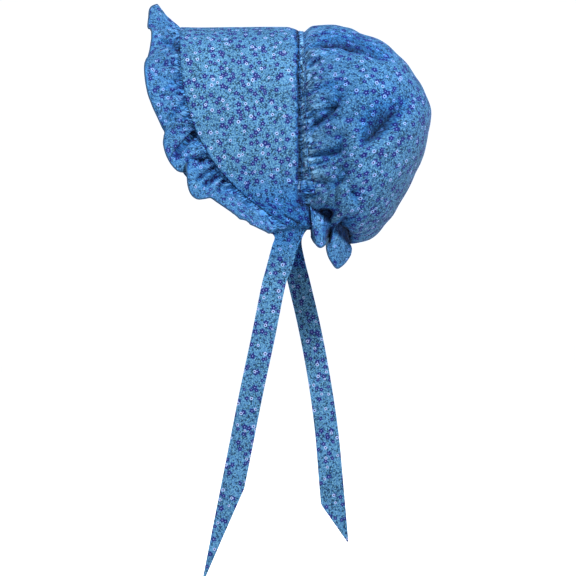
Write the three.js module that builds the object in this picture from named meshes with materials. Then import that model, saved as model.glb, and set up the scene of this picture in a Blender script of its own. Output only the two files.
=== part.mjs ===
// A prairie bonnet of printed cotton, as it sits on a head: a stiffened brim that hoods the face,
// a gathered ruffle round the brim's front edge, a puffed crown gathered to the back of the brim and
// drawn in at the nape, where its hem flares into a neck ruffle, a narrow casing stitched over the
// crown's gathers, and two ties that hang from the brim's lower corners.
//
// Millimetres. X points to the wearer's left, Y to the back and Z up. The origin is where the bonnet
// rests on the top of the head: the underside of the seam between brim and crown, in the middle.
import * as THREE from "three";

// The arch that brim and crown share at their seam: a round top over legs that draw in to the jaw.
const TOP = 5; // height of the brim's mid-surface along the middle
const SEAM_HALF_WIDTH = 84;
const LEG_DRAW_IN = 14; // how far a leg leans in by the time it reaches the crown's lower corner
const CORNER_DEPTH = 214; // from the top down to the crown's lower corner
const CORNER_BACK = 14; // how far behind the seam's top that corner is

// The seam runs almost straight down and then swings back under the crown's lower corner, where the
// brim ends in a rounded ear.
const SEAM_LEAN = 2.5;
const EAR_BACK = 18.5; // how far back the ear reaches
const EAR_FROM = 188;
const EAR_TO = 232;

// The brim.
const BRIM_THICKNESS = 3;
const BRIM_DEPTH_TOP = 139; // seam to front edge, in the middle
const BRIM_DEPTH_JAW = 26; // the same at the lower edge, where a tie is sewn on
const BRIM_FRONT_LEAN = 14; // how far the front edge leans back over the corner's depth
const BRIM_HEIGHT = 239;
const BRIM_CORNER_POWER = 3.5; // how square the brim's lower front corner is
const BRIM_FLARE = 6; // the front is this much wider than the seam, on each side

// The valley along the seam, where brim and crown both roll in.
const SEAM_DIP = 3.5;
const SEAM_DIP_WIDTH = 9;

// The crown.
const CROWN_THICKNESS = 1.5;
const CORNER_RADIUS = 6; // cloth left round the crown's lower corner
const SEAM_GAP = 0.75;
const SEAM_EASE = 0.3; // the share of the crown, from the seam back, that is eased to the seam
const CASING_ZONE = 11; // the crown lies flat this far from the seam, under the casing
const SEAM_GATHERS = 17;
const SEAM_GATHER_HEIGHT = 3.4;
const SEAM_GATHER_LENGTH = 75;
const NECK_GATHERS = 11;
const NECK_GATHER_HEIGHT = 2.6;
const NECK_GATHER_LENGTH = 45;

// Sections of the crown. Each lies in a plane through the two lower corners. fan is the plane's
// angle above level at the back, reach the distance from the corners' line to the section's middle,
// halfWidth the widest half. The first is the seam and the last is the neckline.
const CROWN_SECTIONS = [
  { fan: 93.7, reach: 214.5, halfWidth: 84 },
  { fan: 84, reach: 219.3, halfWidth: 89 },
  { fan: 74, reach: 219, halfWidth: 94 },
  { fan: 64, reach: 215.5, halfWidth: 98 },
  { fan: 54, reach: 206, halfWidth: 101.5 },
  { fan: 44.5, reach: 195, halfWidth: 104 },
  { fan: 36, reach: 181, halfWidth: 104 },
  { fan: 27, reach: 157, halfWidth: 102 },
  { fan: 17, reach: 134, halfWidth: 98 },
  { fan: 5, reach: 113, halfWidth: 93 },
  { fan: -10, reach: 97, halfWidth: 86 },
  { fan: -25, reach: 85, halfWidth: 77 },
  { fan: -40.7, reach: 66, halfWidth: 66 },
];

// The crown's main folds, seen from the side: a valley runs from its first point to its second.
// side is 1 on the wearer's left and -1 on the right, above and below are how far its two slopes run.
const FOLD_FREE_MIDDLE = 45;
const CROWN_FOLDS = [
  { side: 1, y1: 12, z1: -16, y2: 58, z2: -17, depth: 6, above: 12, below: 6 },
  { side: 1, y1: 58, z1: -17, y2: 106, z2: -29, depth: 6, above: 12, below: 7 },
  { side: 1, y1: 20, z1: -113, y2: 48, z2: -78, depth: 9, above: 10, below: 7 },
  { side: 1, y1: 77, z1: -130, y2: 141, z2: -73, depth: 13, above: 22, below: 9 },
  { side: 1, y1: 20, z1: -148, y2: 52, z2: -145, depth: 6, above: 7, below: 6 },
  { side: 1, y1: 39, z1: -187, y2: 59, z2: -162, depth: 8, above: 9, below: 7 },
  { side: 1, y1: 53, z1: -189, y2: 72, z2: -204, depth: 8, above: 9, below: 7 },
  { side: -1, y1: 14, z1: -40, y2: 74, z2: -36, depth: 7, above: 12, below: 8 },
  { side: -1, y1: 22, z1: -92, y2: 62, z2: -70, depth: 8, above: 11, below: 8 },
  { side: -1, y1: 84, z1: -96, y2: 138, z2: -82, depth: 10, above: 16, below: 9 },
  { side: -1, y1: 60, z1: -152, y2: 122, z2: -138, depth: 11, above: 18, below: 9 },
  { side: -1, y1: 24, z1: -142, y2: 50, z2: -132, depth: 7, above: 8, below: 7 },
  { side: -1, y1: 44, z1: -198, y2: 74, z2: -178, depth: 8, above: 9, below: 7 },
];

// The neck ruffle, from the middle of the nape (at 0) to the crown's lower corner (at 1), the same on
// both sides: how far it swings out from hanging straight, in degrees, and how long it hangs.
const NECK_RUFFLE = [
  { at: 0, lift: 14, drop: 37 },
  { at: 0.14, lift: -10, drop: 38 },
  { at: 0.36, lift: 32, drop: 41 },
  { at: 0.57, lift: -14, drop: 39 },
  { at: 0.79, lift: 34, drop: 42 },
  { at: 1, lift: -8, drop: 38 },
];

// The brim's ruffle, by distance along the front edge from its middle: how far it stands out from the
// brim's own surface, in degrees, how wide it is, and how far its hem is swept along the edge.
const RUFFLE_THICKNESS = 1.5;
const RUFFLE_GAP = 0.4;
const RUFFLE_LEFT = [
  { at: 0, lift: 46, width: 41, sweep: 0 },
  { at: 26, lift: 42, width: 42, sweep: 4 },
  { at: 50, lift: 24, width: 43, sweep: 4 },
  { at: 64, lift: 4, width: 40, sweep: -3 },
  { at: 80, lift: 10, width: 41, sweep: -2 },
  { at: 98, lift: 14, width: 43, sweep: 0 },
  { at: 135, lift: 10, width: 43, sweep: 2 },
  { at: 165, lift: 20, width: 42, sweep: 5 },
  { at: 181, lift: 24, width: 41, sweep: 7 },
  { at: 191, lift: -4, width: 40, sweep: 2 },
  { at: 206, lift: 12, width: 42, sweep: 0 },
  { at: 222, lift: 26, width: 42, sweep: 4 },
  { at: 231, lift: -2, width: 40, sweep: -2 },
  { at: 245, lift: 22, width: 41, sweep: 2 },
  { at: 257, lift: 28, width: 41, sweep: 4 },
  { at: 268, lift: 12, width: 40, sweep: 4 },
  { at: 290, lift: 54, width: 40, sweep: 3 },
  { at: 318, lift: 56, width: 36, sweep: 0 },
  { at: 347, lift: 50, width: 16, sweep: -2 },
];
const RUFFLE_RIGHT = [
  { at: 0, lift: 46, width: 41, sweep: 0 },
  { at: 18, lift: 40, width: 42, sweep: 3 },
  { at: 34, lift: 14, width: 41, sweep: 2 },
  { at: 50, lift: 6, width: 41, sweep: -3 },
  { at: 74, lift: 30, width: 43, sweep: 2 },
  { at: 92, lift: 4, width: 41, sweep: 2 },
  { at: 110, lift: 16, width: 42, sweep: -2 },
  { at: 132, lift: 28, width: 43, sweep: 3 },
  { at: 147, lift: 0, width: 41, sweep: 1 },
  { at: 168, lift: 24, width: 42, sweep: 0 },
  { at: 184, lift: 20, width: 42, sweep: 5 },
  { at: 195, lift: -4, width: 40, sweep: 1 },
  { at: 216, lift: 28, width: 42, sweep: 2 },
  { at: 231, lift: 2, width: 41, sweep: 2 },
  { at: 250, lift: 30, width: 41, sweep: 0 },
  { at: 266, lift: 10, width: 40, sweep: 3 },
  { at: 290, lift: 52, width: 40, sweep: 3 },
  { at: 318, lift: 55, width: 36, sweep: 0 },
  { at: 347, lift: 50, width: 16, sweep: -2 },
];

// The casing stitched over the crown's gathers, beside the seam.
const CASING_THICKNESS = 1.2;
const CASING_FROM = 1;
const CASING_TO_TOP = 6; // its back edge is this far from the seam in the middle,
const CASING_TO_CORNER = 10.5; // and this far at its ends
const CASING_END = 12; // it stops this far above the crown's lower corner
const CASING_GAP = 0.4;

// The ties. Each row is a point of the centreline, from where it is sewn inside the brim's corner.
const TIE_WIDTH = 28;
const TIE_THICKNESS = 2;
const TIE_LEFT = {
  name: "tie_left",
  side: 1,
  path: [
    { x: 66.5, y: -6, z: -211, width: 34 },
    { x: 61.9, y: -7.5, z: -231, width: 46 },
    { x: 59.5, y: -10.5, z: -246, width: 34 },
    { x: 59, y: -15.5, z: -266, width: 30 },
    { x: 59, y: -28, z: -304, width: 28 },
    { x: 61, y: -40, z: -364, width: 28 },
    { x: 62, y: -54, z: -430, width: 28 },
    { x: 59, y: -69, z: -506, width: 28 },
    { x: 58, y: -83, z: -576, width: 28 },
    { x: 61, y: -97, z: -648, width: 28 },
  ],
  tipAt: -1, // the tip is on the front edge
  taper: 108,
};
const TIE_RIGHT = {
  name: "tie_right",
  side: -1,
  path: [
    { x: 66.5, y: -6, z: -211, width: 32 },
    { x: 61.9, y: -9, z: -231, width: 42 },
    { x: 59.3, y: -9, z: -248, width: 30 },
    { x: 58.6, y: -4, z: -272, width: 28 },
    { x: 58.6, y: 3, z: -300, width: 28 },
    { x: 59, y: 16, z: -356, width: 28 },
    { x: 62, y: 28, z: -420, width: 28 },
    { x: 64, y: 37, z: -484, width: 29 },
    { x: 62, y: 43, z: -552, width: 30 },
    { x: 63, y: 49, z: -619, width: 30 },
  ],
  tipAt: 1, // the tip is on the back edge
  taper: 46,
};

// How finely each piece is faceted.
const CROWN_FACETS = { columns: 80, bagRows: 22, casingRows: 3, casingShare: 0.08, ruffleRows: 3 };
const BRIM_FACETS = { columns: 32, rows: 5 };
const RUFFLE_FACETS = { columns: 116, rows: 2 };
const CASING_FACETS = { columns: 76, rows: 2 };
const TIE_ROWS = 28;

const FACE_COLOUR = 0x5f96c8;
const CASING_COLOUR = 0x4d7fae;

const QUARTER_TURN = Math.PI / 2;
const EPS = 1e-3;

const clamp = (value) => THREE.MathUtils.clamp(value, 0, 1);

// A smooth curve through rows of a table: the value of a column at a place counted in rows.
function throughRows(rows, column, place) {
  const i = Math.min(Math.floor(place), rows.length - 2);
  const t = place - i;
  const at = (k) => {
    if (k < 0) return 2 * rows[0][column] - rows[1][column];
    if (k === rows.length) return 2 * rows.at(-1)[column] - rows.at(-2)[column];
    return rows[k][column];
  };
  const [a, b, c, d] = [at(i - 1), at(i), at(i + 1), at(i + 2)];
  const cubic = (3 * (b - c) + d - a) * t * t * t + (2 * a - 5 * b + 4 * c - d) * t * t;
  return b + 0.5 * (cubic + (c - a) * t);
}

// The same for a table whose rows give their own place in the column "at": eased from row to row.
function betweenRows(rows, column, place) {
  const next = Math.max(1, rows.findIndex((row) => row.at >= place));
  const [from, to] = [rows[next - 1], rows[next]];
  const t = THREE.MathUtils.smoothstep(place, from.at, to.at);
  return THREE.MathUtils.lerp(from[column], to[column], t);
}

// A closed solid of cloth from its mid-surface. place(column, row) gives a point for shares 0 to 1.
// The front of the cloth is the side from which columns run left to right and rows run down.
function clothSolid({ columns, rows, thickness, place }) {
  const wide = columns + 1;
  const high = rows + 1;
  const count = wide * high;
  const points = [];
  for (let r = 0; r < high; r++)
    for (let c = 0; c < wide; c++) points.push(place(c / columns, r / rows));
  const at = (c, r) =>
    points[THREE.MathUtils.clamp(r, 0, rows) * wide + THREE.MathUtils.clamp(c, 0, columns)];

  const position = new Float32Array(count * 2 * 3);
  const alongRow = new THREE.Vector3();
  const alongColumn = new THREE.Vector3();
  const normal = new THREE.Vector3();
  for (let r = 0; r < high; r++)
    for (let c = 0; c < wide; c++) {
      alongRow.subVectors(at(c + 1, r), at(c - 1, r));
      alongColumn.subVectors(at(c, r + 1), at(c, r - 1));
      normal.crossVectors(alongColumn, alongRow).setLength(thickness / 2);
      const k = r * wide + c;
      at(c, r).clone().add(normal).toArray(position, k * 3);
      at(c, r).clone().sub(normal).toArray(position, (count + k) * 3);
    }

  const index = [];
  const quad = (a, b, c, d) => index.push(a, b, c, a, c, d);
  for (let r = 0; r < rows; r++)
    for (let c = 0; c < columns; c++) {
      const k = r * wide + c;
      quad(k, k + wide, k + wide + 1, k + 1);
      quad(count + k, count + k + 1, count + k + wide + 1, count + k + wide);
    }
  for (let c = 0; c < columns; c++) {
    const last = rows * wide + c;
    quad(c, c + 1, count + c + 1, count + c);
    quad(last, count + last, count + last + 1, last + 1);
  }
  for (let r = 0; r < rows; r++) {
    const first = r * wide;
    const last = first + columns;
    quad(first, count + first, count + first + wide, first + wide);
    quad(last, last + wide, count + last + wide, count + last);
  }
  const geometry = new THREE.BufferGeometry();
  geometry.setAttribute("position", new THREE.BufferAttribute(position, 3));
  geometry.setIndex(index);
  geometry.computeVertexNormals();
  return geometry;
}

// Half an arch by the share of its length from the top: x outward, drop down from the top, and the
// angle that its outward normal has turned from straight up.
function halfArch(share, halfWidth, roundHeight, legLength, legDrawIn) {
  const roundLength = QUARTER_TURN * Math.sqrt((halfWidth ** 2 + roundHeight ** 2) / 2);
  const length = share * (roundLength + legLength);
  if (length < roundLength) {
    const turn = (length / roundLength) * QUARTER_TURN;
    return { x: halfWidth * Math.sin(turn), drop: roundHeight * (1 - Math.cos(turn)), turn };
  }
  const leg = length - roundLength;
  return { x: halfWidth - legDrawIn(leg), drop: roundHeight + leg, turn: QUARTER_TURN };
}

// How far back the seam lies at a drop below its top.
function seamBack(drop) {
  const ear = THREE.MathUtils.smoothstep(drop, EAR_FROM, EAR_TO);
  return THREE.MathUtils.lerp(SEAM_LEAN * Math.min(drop / EAR_FROM, 1), EAR_BACK, ear);
}

// How far the cloth rolls in beside the seam. It fades out towards the crown's lower corner.
function seamDip(distance, drop) {
  const fade = 1 - THREE.MathUtils.smoothstep(drop, CORNER_DEPTH - 30, CORNER_DEPTH);
  return SEAM_DIP * fade * Math.exp(-((distance / SEAM_DIP_WIDTH) ** 2));
}

// The brim's mid-surface: across runs from -1 at the right jaw to 1 at the left, forward from 0 at
// the seam to 1 at the front edge.
function brimPoint(across, forward) {
  const cornerLeg = CORNER_DEPTH - SEAM_HALF_WIDTH;
  const drawIn = (leg) => LEG_DRAW_IN * (leg / cornerLeg) ** 2;
  const archOf = (halfWidth) =>
    halfArch(Math.abs(across), halfWidth, halfWidth, BRIM_HEIGHT - halfWidth, drawIn);
  const seamDrop = archOf(SEAM_HALF_WIDTH).drop;
  const square = 1 - (seamDrop / BRIM_HEIGHT) ** BRIM_CORNER_POWER;
  const frontBack = (BRIM_FRONT_LEAN * seamDrop) / CORNER_DEPTH;
  const front = frontBack - THREE.MathUtils.lerp(BRIM_DEPTH_JAW, BRIM_DEPTH_TOP, square);
  const toFront = forward * (seamBack(seamDrop) - front);
  const arch = archOf(SEAM_HALF_WIDTH + (BRIM_FLARE * toFront) / BRIM_DEPTH_TOP);
  const dip = seamDip(toFront, arch.drop);
  return new THREE.Vector3(
    Math.sign(across) * (arch.x - dip * Math.sin(arch.turn)),
    seamBack(seamDrop) - toFront,
    TOP - arch.drop - dip * Math.cos(arch.turn),
  );
}

function makeBrim() {
  const rowEasing = 1.6; // rows crowd towards the seam, where the brim rolls in
  return clothSolid({
    ...BRIM_FACETS,
    thickness: BRIM_THICKNESS,
    place: (column, row) => brimPoint(2 * column - 1, 1 - (1 - row) ** rowEasing),
  });
}

// The ruffle's mid-surface: across as on the brim, out from 0 at the brim's edge to 1 at the hem.
function rufflePoint(across, out) {
  const reach = Math.min(Math.abs(across) + EPS, 1) * Math.sign(across || 1);
  const edge = brimPoint(across, 1);
  const along = brimPoint(reach, 1).sub(brimPoint(reach - EPS * Math.sign(reach), 1)).normalize();
  const back = brimPoint(across, 1 - 10 * EPS).sub(edge).normalize();
  const forward = back.clone().addScaledVector(along, -back.dot(along)).normalize().negate();
  const outward = new THREE.Vector3().crossVectors(forward, along);
  if (across < 0) outward.negate();
  const rows = across < 0 ? RUFFLE_RIGHT : RUFFLE_LEFT;
  const place = Math.abs(across) * rows.at(-1).at;
  const lift = THREE.MathUtils.degToRad(betweenRows(rows, "lift", place));
  const width = betweenRows(rows, "width", place);
  const clear = RUFFLE_GAP + (RUFFLE_THICKNESS / 2) * Math.abs(Math.sin(lift));
  const curl = 1.25; // the ruffle leaves the edge flat and bends outward towards its hem
  return edge
    .addScaledVector(forward, clear + width * Math.cos(lift) * out)
    .addScaledVector(outward, width * Math.sin(lift) * out ** curl)
    .addScaledVector(along, betweenRows(rows, "sweep", place) * out ** 2);
}

function makeBrimRuffle() {
  return clothSolid({
    ...RUFFLE_FACETS,
    thickness: RUFFLE_THICKNESS,
    place: (column, row) => rufflePoint(2 * column - 1, row),
  });
}

// The crown without its gathers and folds. across is as on the brim, back runs from 0 at the seam to
// 1 at the neckline. Its sections lie in planes, so it is eased forward to follow the seam.
function crownBase(across, back) {
  const place = back * (CROWN_SECTIONS.length - 1);
  const fan = THREE.MathUtils.degToRad(throughRows(CROWN_SECTIONS, "fan", place));
  const reach = throughRows(CROWN_SECTIONS, "reach", place);
  const halfWidth = throughRows(CROWN_SECTIONS, "halfWidth", place);
  const roundHeight = Math.min(halfWidth, 0.6 * reach);
  const legLength = reach - roundHeight - CORNER_RADIUS;
  const atCorner = SEAM_HALF_WIDTH - LEG_DRAW_IN;
  const drawIn = (leg) => (halfWidth - atCorner) * (leg / legLength) ** 2;
  const arch = halfArch(Math.abs(across), halfWidth, roundHeight, legLength, drawIn);
  const fromCorner = reach - arch.drop;
  const drop = CORNER_DEPTH - fromCorner * Math.sin(fan);
  const ease = 1 - THREE.MathUtils.smoothstep(back, 0, SEAM_EASE);
  const toSeam = seamBack(drop) - (CORNER_BACK * drop) / CORNER_DEPTH;
  return new THREE.Vector3(
    Math.sign(across) * arch.x,
    CORNER_BACK + SEAM_GAP + fromCorner * Math.cos(fan) + ease * Math.min(toSeam, 0),
    TOP - drop,
  );
}

// The outward normal of the crown's base.
function crownOutward(across, back) {
  const near = Math.min(back, 1 - EPS);
  const side = Math.min(across, 1 - EPS);
  const origin = crownBase(side, near);
  const along = crownBase(side + EPS, near).sub(origin);
  const down = crownBase(side, near + EPS).sub(origin);
  return along.cross(down).normalize();
}

// How deep the main folds press the crown in at a point of its base. They fade out at its middle.
function foldDepth(point) {
  const fade = THREE.MathUtils.smoothstep(Math.abs(point.x), 0, FOLD_FREE_MIDDLE);
  let depth = 0;
  for (const fold of CROWN_FOLDS) {
    if (fold.side * point.x < 0) continue;
    const run = new THREE.Vector2(fold.y2 - fold.y1, fold.z2 - fold.z1);
    const from = new THREE.Vector2(point.y - fold.y1, point.z - fold.z1);
    const along = from.dot(run) / run.length();
    const past = Math.max(-along, along - run.length(), 0);
    const aside = run.cross(from) / run.length();
    const slope = aside > 0 ? fold.above : fold.below;
    depth += fade * fold.depth * Math.exp(-((aside / slope) ** 2) - (past / slope) ** 2);
  }
  return depth;
}

// The gathers that run into the crown from the seam and from the neckline.
function gatherHeight(across, fromSeam, fromNeck) {
  const seamPhase = Math.PI * SEAM_GATHERS * across + 1.6 * Math.sin(9 * across);
  const neckPhase = Math.PI * NECK_GATHERS * across + 1.2 * Math.sin(7 * across + 1);
  const seamFade = 1 - THREE.MathUtils.smoothstep(fromSeam, 0.35 * SEAM_GATHER_LENGTH, SEAM_GATHER_LENGTH);
  const neckFade = 1 - THREE.MathUtils.smoothstep(fromNeck, 0, NECK_GATHER_LENGTH);
  const seam = SEAM_GATHER_HEIGHT * seamFade * Math.cos(seamPhase);
  return seam + NECK_GATHER_HEIGHT * neckFade * Math.cos(neckPhase);
}

// The crown's mid-surface between the seam and the neckline.
function crownPoint(across, back) {
  const base = crownBase(across, back);
  const fromSeam = base.distanceTo(crownBase(across, 0));
  const fromNeck = base.distanceTo(crownBase(across, 1));
  const flatUnderCasing = THREE.MathUtils.smoothstep(fromSeam, CASING_ZONE, 2.2 * CASING_ZONE);
  const nearCorner = THREE.MathUtils.smoothstep(fromSeam + fromNeck, 30, 110);
  const shape = gatherHeight(across, fromSeam, fromNeck) * nearCorner - foldDepth(base) * nearCorner;
  const dip = seamDip(fromSeam, TOP - base.z);
  const outward = crownOutward(across, back);
  return base.addScaledVector(outward, flatUnderCasing * shape - dip);
}

// The neck ruffle's mid-surface: down runs from 0 at the neckline to 1 at the hem.
function neckRufflePoint(across, down) {
  const start = crownPoint(across, 1).lerp(crownBase(across, 1), down);
  const lift = THREE.MathUtils.degToRad(betweenRows(NECK_RUFFLE, "lift", Math.abs(across)));
  const drop = betweenRows(NECK_RUFFLE, "drop", Math.abs(across));
  const aside = crownBase(across, 1).sub(new THREE.Vector3(0, CORNER_BACK, start.z)).setZ(0);
  return start
    .addScaledVector(aside.normalize(), drop * Math.sin(lift) * down)
    .add(new THREE.Vector3(0, 0, -drop * Math.cos(lift) * down));
}

// How far back a distance from the seam is, as a share of the way to the neckline.
function backAt(across, distance) {
  return (distance * EPS) / crownBase(across, EPS).distanceTo(crownBase(across, 0));
}

// Where the crown's rows of facets lie: the first few follow the casing, the others share the rest.
function crownRowPlace(across, row) {
  const { bagRows, casingRows, casingShare } = CROWN_FACETS;
  const edge = Math.min(backAt(across, CASING_ZONE), casingShare * casingRows);
  if (row <= casingRows) return (edge * row) / casingRows;
  return THREE.MathUtils.mapLinear(row, casingRows, bagRows, edge, 1);
}

// Crown and neck ruffle are one cloth, drawn in at the neckline.
function makeCrown() {
  const { columns, bagRows, ruffleRows } = CROWN_FACETS;
  const rows = bagRows + ruffleRows;
  return clothSolid({
    columns,
    rows,
    thickness: CROWN_THICKNESS,
    place: (column, row) => {
      const across = 1 - 2 * column;
      const done = Math.round(row * rows);
      if (done <= bagRows) return crownPoint(across, crownRowPlace(across, done));
      return neckRufflePoint(across, (done - bagRows) / ruffleRows);
    },
  });
}

// The casing lies on the crown's flat edge, from one lower corner over the top to the other.
function casingPoint(column, row) {
  const archLength = QUARTER_TURN * SEAM_HALF_WIDTH + CORNER_DEPTH - SEAM_HALF_WIDTH;
  const across = (1 - 2 * column) * (1 - CASING_END / archLength);
  const to = THREE.MathUtils.lerp(CASING_TO_TOP, CASING_TO_CORNER, Math.abs(across));
  const back = backAt(across, THREE.MathUtils.lerp(CASING_FROM, to, row));
  const height = CROWN_THICKNESS / 2 + CASING_GAP + CASING_THICKNESS / 2;
  return crownPoint(across, back).addScaledVector(crownOutward(across, back), height);
}

function makeCasing() {
  return clothSolid({ ...CASING_FACETS, thickness: CASING_THICKNESS, place: casingPoint });
}

// A tie is a flat strip whose lower end is cut on a slant. column runs from its front edge to its
// back edge, row from the top to the tip.
function tiePoint(tie, column, row) {
  const place = row * (tie.path.length - 1);
  const value = (name) => throughRows(tie.path, name, place);
  const lowEnd = tie.path.at(-1).z;
  const cut = 1 - clamp((value("z") - lowEnd) / tie.taper);
  const half = value("width") / 2;
  const tipSide = half * tie.tipAt;
  const front = THREE.MathUtils.lerp(-half, tie.tipAt < 0 ? -half : tipSide - 2, tie.tipAt < 0 ? 0 : cut);
  const rear = THREE.MathUtils.lerp(half, tie.tipAt > 0 ? half : tipSide + 2, tie.tipAt > 0 ? 0 : cut);
  const aside = THREE.MathUtils.lerp(front, rear, column);
  return new THREE.Vector3(tie.side * value("x"), value("y") + aside, value("z"));
}

function makeTie(tie) {
  return clothSolid({
    columns: 1,
    rows: TIE_ROWS,
    thickness: TIE_THICKNESS,
    place: (column, row) => tiePoint(tie, column, row),
  });
}

const printedCotton = new THREE.MeshStandardMaterial({ color: FACE_COLOUR, roughness: 0.85 });
const gatheredCotton = new THREE.MeshStandardMaterial({ color: CASING_COLOUR, roughness: 0.9 });

const bonnet = new THREE.Group();

function addPiece(name, geometry, material) {
  const mesh = new THREE.Mesh(geometry, material);
  mesh.name = name;
  bonnet.add(mesh);
}

addPiece("brim", makeBrim(), printedCotton);
addPiece("brim_ruffle", makeBrimRuffle(), printedCotton);
addPiece("crown", makeCrown(), printedCotton);
addPiece("crown_casing", makeCasing(), gatheredCotton);
for (const tie of [TIE_LEFT, TIE_RIGHT]) addPiece(tie.name, makeTie(tie), printedCotton);

export default bonnet;
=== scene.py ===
import bpy
import numpy as np
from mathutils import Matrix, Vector


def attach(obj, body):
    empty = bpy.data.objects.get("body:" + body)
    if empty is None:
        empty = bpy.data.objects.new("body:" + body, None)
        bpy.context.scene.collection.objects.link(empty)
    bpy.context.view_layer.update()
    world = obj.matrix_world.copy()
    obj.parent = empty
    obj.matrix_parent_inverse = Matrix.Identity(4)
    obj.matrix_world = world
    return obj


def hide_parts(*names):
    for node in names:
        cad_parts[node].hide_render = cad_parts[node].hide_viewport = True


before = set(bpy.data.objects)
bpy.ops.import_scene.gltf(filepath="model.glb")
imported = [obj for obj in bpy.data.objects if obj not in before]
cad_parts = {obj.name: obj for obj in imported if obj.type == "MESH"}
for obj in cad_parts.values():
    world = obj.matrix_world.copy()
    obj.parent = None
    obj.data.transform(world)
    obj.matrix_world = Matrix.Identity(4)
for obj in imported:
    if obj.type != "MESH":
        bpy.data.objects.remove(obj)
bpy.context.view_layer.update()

# The picture: a long lens on the wearer's left, level with the middle of the hanging bonnet.
# A plain white room, a pale floor, and one soft light high on the wearer's left, a little behind.
CAMERA_AWAY = 2200
PICTURE_MIDDLE = np.array([0, -10.8, -305.8])
PICTURE_WIDTH = 691.2

lens = bpy.data.cameras.new("long_lens")
lens.sensor_width = 36
lens.lens = 36 * CAMERA_AWAY / PICTURE_WIDTH
camera = bpy.data.objects.new("camera", lens)
camera.location = Vector((CAMERA_AWAY, *PICTURE_MIDDLE[1:])) / 1000
camera.rotation_euler = np.radians((90, 0, 90))
bpy.context.collection.objects.link(camera)
bpy.context.scene.camera = camera
bpy.context.scene.view_settings.view_transform = "Standard"

room = bpy.data.worlds.new("white_room")
room.use_nodes = True
room.node_tree.nodes["Background"].inputs["Color"].default_value = (0.96, 1, 1.12, 1)
room.node_tree.nodes["Background"].inputs["Strength"].default_value = 1.05
bpy.context.scene.world = room

softbox = bpy.data.lights.new("softbox", "AREA")
softbox.size = 0.6
softbox.energy = 290
softbox.color = (1.0, 0.97, 0.9)
light = bpy.data.objects.new("softbox", softbox)
light.location = (1.5, 0.75, 1.3)
light.rotation_euler = (Vector((0, 0.02, -0.15)) - light.location).to_track_quat("-Z", "Y").to_euler()
bpy.context.collection.objects.link(light)

bpy.ops.mesh.primitive_circle_add(vertices=96, radius=9, fill_type="NGON", location=(0, 0, -0.8))
floor = bpy.context.object
floor.name = "floor"
paint = bpy.data.materials.new("pale_floor")
paint.use_nodes = True
paint.node_tree.nodes["Principled BSDF"].inputs["Base Color"].default_value = (0.97, 0.97, 0.97, 1)
paint.node_tree.nodes["Principled BSDF"].inputs["Roughness"].default_value = 0.9
floor.data.materials.append(paint)

# The brim: two layers of printed calico over a stiffener, a hood with a round top and nearly flat
# sides. Its back edge rolls into the seam and swings back at the bottom into a rounded ear. Its
# front edge is curved, and the ruffle is sewn to it.
TOP = 5
SEAM_HALF_WIDTH = 84
LEG_DRAW_IN = 14
CORNER_DEPTH = 214
BRIM_HEIGHT = 239
BRIM_DEPTH_TOP = 139
BRIM_DEPTH_JAW = 26
BRIM_FRONT_LEAN = 14
BRIM_CORNER_POWER = 3.5
BRIM_FLARE = 6
BRIM_HALF_THICKNESS = 1.4
SEAM_LEAN = 2.5
EAR_TOP = 213
EAR_BACK = 13.5
EAR_LOW_BACK = 18.5
SEAM_DIP = 6.5
SEAM_DIP_WIDTH = 8.5
SEAM_DIP_BACK = 5
BRIM_COLUMNS = 430
BRIM_ROWS = 78
# Short creases of the wearer's left side, as the picture shows them: from y and z to y and z, how
# deep, how much shade is painted on them, how wide.
BRIM_CREASES = [
    (-13.5, -220, 3.6, -228.5, 2.5, 1.7, 1.7), (-34, -226, -18, -231, 1.2, 0.8, 3),
    (-4, -212, 6, -206, 1, 0.9, 2.2),
]


def smooth(value, low, high):
    t = np.clip((value - low) / (high - low), 0, 1)
    return t * t * (3 - 2 * t)


def mix(a, b, t):
    return a + (b - a) * t


def unit(directions):
    return directions / np.linalg.norm(directions, axis=-1, keepdims=True)


def together(*values):
    """Points from the grids of their coordinates."""
    return np.stack(np.broadcast_arrays(*values), axis=-1)


def random_heights(u, v, seed):
    """Smooth random heights from -1 to 1, one bump about every unit of u and v."""
    table = np.random.default_rng(seed).uniform(-1, 1, (97, 101))
    u, v = np.broadcast_arrays(np.asarray(u, float), np.asarray(v, float))
    iu, iv = np.floor(u).astype(int), np.floor(v).astype(int)
    fu, fv = smooth(u - iu, 0, 1), smooth(v - iv, 0, 1)
    at = lambda i, j: table[i % 97, j % 101]
    near = mix(at(iu, iv), at(iu, iv + 1), fv)
    return mix(near, mix(at(iu + 1, iv), at(iu + 1, iv + 1), fv), fu)


def pleats(u, v, seed):
    """Like random_heights, but with rounded tops and sharp valleys, as gathered cloth has."""
    return 2 * np.sqrt(np.abs(random_heights(u, v, seed))) - 1.25


def creases(u, v, seed):
    """1 in the valleys of the pleats of the same seed, 0 away from them."""
    return np.exp(-np.abs(random_heights(u, v, seed)) / 0.22)


def half_arch(share, half_width, round_height, leg_length):
    """A round top that goes on into a straight leg, from the middle of the top to the leg's end: how
    far out and down a share of its length is, how far round the top, and how far down the leg."""
    round_length = np.pi / 2 * np.sqrt((half_width**2 + round_height**2) / 2)
    length = share * (round_length + leg_length)
    turn = np.clip(length / round_length, 0, 1) * np.pi / 2
    leg = np.maximum(length - round_length, 0)
    return half_width * np.sin(turn), round_height * (1 - np.cos(turn)) + leg, turn, leg


def seam_back(drop):
    """How far back the seam lies at a drop below its top: a slight lean, then the rounded ear."""
    lean = SEAM_LEAN * np.minimum(drop / EAR_TOP, 1)
    ear = mix(lean, EAR_BACK, smooth(drop, EAR_TOP - 3, EAR_TOP + 5))
    return mix(ear, EAR_LOW_BACK, smooth(drop, EAR_TOP, BRIM_HEIGHT - 5))


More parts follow.
